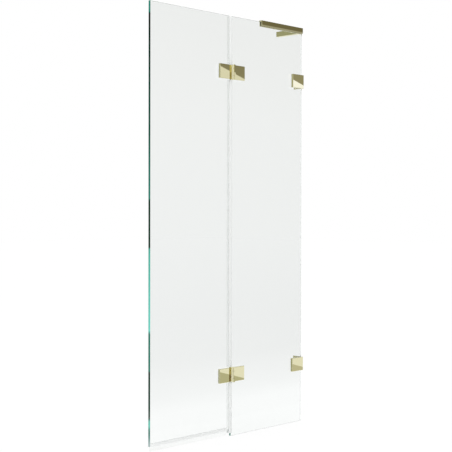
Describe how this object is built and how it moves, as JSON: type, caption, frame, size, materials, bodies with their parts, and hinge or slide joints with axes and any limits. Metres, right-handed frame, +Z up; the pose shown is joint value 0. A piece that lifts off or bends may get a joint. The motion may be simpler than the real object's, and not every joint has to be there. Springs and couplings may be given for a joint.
{
  "type": "bath screen",
  "caption": "Frameless glass bath screen: a fixed pane on wall brackets with a top stabiliser bar, and a pane hinged to it that folds forward.",
  "frame": {"origin": "middle of the fixed pane's bottom edge, on the bath rim", "axes": "+X along the glass towards the wall, +Y to the back, away from the side that the swing pane folds to, +Z up"},
  "size_m": [0.7825, 0.1363, 1.5052],
  "materials": {
    "clear_glass": "8 mm clear toughened glass, ground and polished edges with a green tint",
    "polished_gold": "polished pale gold plating on brass",
    "clear_seal": "clear silicone, extruded in a milky and a soft clear grade",
    "grey_rubber": "grey rubber sheet",
    "white_nylon": "moulded nylon",
    "stainless_steel": "stainless steel, lathe turned",
    "black_rubber": "black rubber strip",
    "tan_nylon": "oil-filled nylon"
  },
  "bodies": {
    "fixed_screen": {"fixed_pane": "clear_glass", "upper_wall_bracket": "polished_gold", "lower_wall_bracket": "polished_gold", "upper_bracket_plate": "polished_gold", "lower_bracket_plate": "polished_gold", "bracket_gaskets": "grey_rubber", "bracket_screws": "stainless_steel", "bracket_sleeves": "white_nylon", "upper_fixed_leaf": "polished_gold", "lower_fixed_leaf": "polished_gold", "upper_fixed_back_plate": "polished_gold", "lower_fixed_back_plate": "polished_gold", "fixed_leaf_gaskets": "grey_rubber", "fixed_leaf_screws": "stainless_steel", "fixed_leaf_sleeves": "white_nylon", "upper_hinge_pin": "stainless_steel", "lower_hinge_pin": "stainless_steel", "hinge_pin_caps": "polished_gold", "stabiliser_glass_bar": "polished_gold", "stabiliser_wall_bar": "polished_gold", "stabiliser_liner": "black_rubber", "stabiliser_grub_screws": "stainless_steel", "stabiliser_corner_screw": "stainless_steel", "joint_seal_upper": "clear_seal", "joint_seal_middle": "clear_seal", "joint_seal_lower": "clear_seal"},
    "swing_screen": {"swing_pane": "clear_glass", "upper_swing_leaf": "polished_gold", "lower_swing_leaf": "polished_gold", "upper_swing_back_plate": "polished_gold", "lower_swing_back_plate": "polished_gold", "swing_leaf_gaskets": "grey_rubber", "swing_leaf_screws": "stainless_steel", "swing_leaf_sleeves": "white_nylon", "upper_hinge_bushes": "tan_nylon", "lower_hinge_bushes": "tan_nylon", "bottom_seal": "clear_seal"}
  },
  "joints": [
    {"name": "swing", "type": "hinge", "parent": "fixed_screen", "child": "swing_screen", "pos_m": [-0.19265, -0.0145, 0.76], "axis": [0, 0, 1], "range_deg": [0, 165]}
  ]
}
